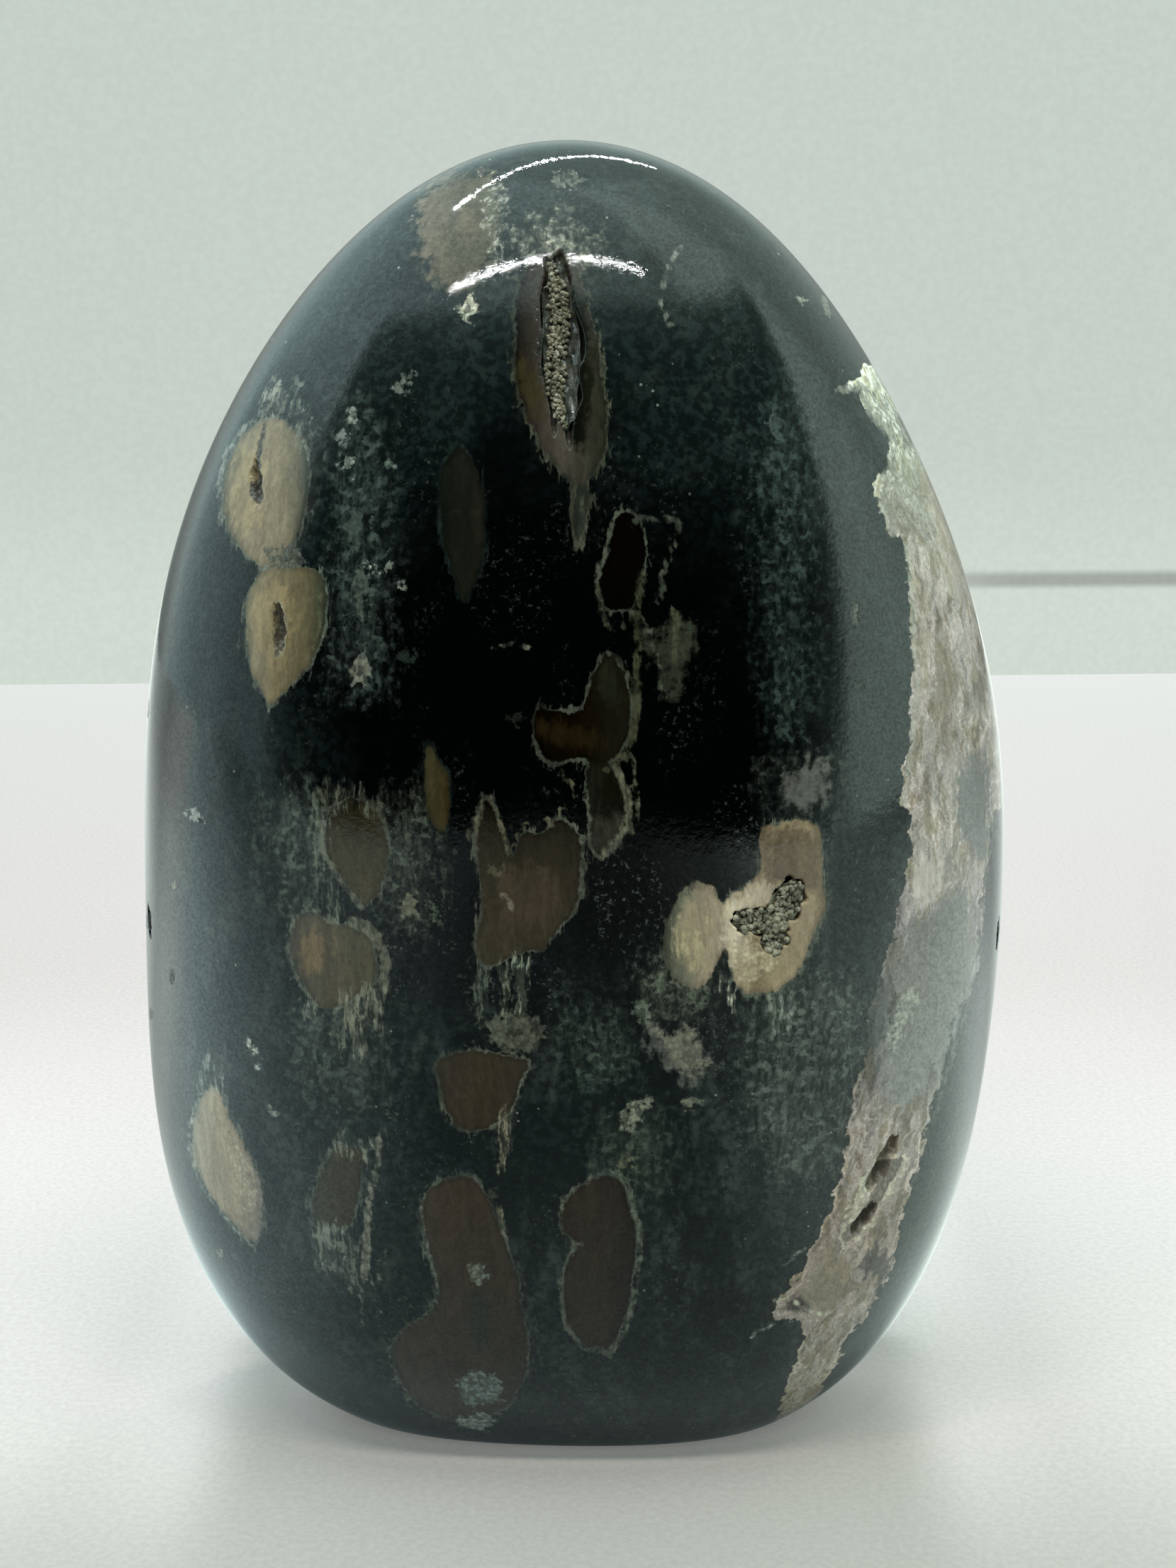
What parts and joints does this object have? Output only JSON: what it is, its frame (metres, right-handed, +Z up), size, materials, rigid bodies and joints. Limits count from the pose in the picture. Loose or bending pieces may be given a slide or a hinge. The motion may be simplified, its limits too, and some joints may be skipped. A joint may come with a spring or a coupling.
{
  "type": "ocean jasper freeform",
  "caption": "Standing polished freeform of ocean jasper, egg-shaped in outline with two domed faces and a ground flat foot, with small crystal-lined hollows in its show face.",
  "frame": {"origin": "under the middle of the stone's width and thickness, level with its flat foot", "axes": "+Z up, +X to the right as the show face is seen, -Y out of the show face"},
  "size_m": [0.06, 0.035, 0.09],
  "materials": {
    "jasper": "polished",
    "quartz": "satin"
  },
  "bodies": {
    "root": {"stone": "jasper", "druse_crust": "quartz", "vug_crust": "quartz"}
  },
  "joints": []
}
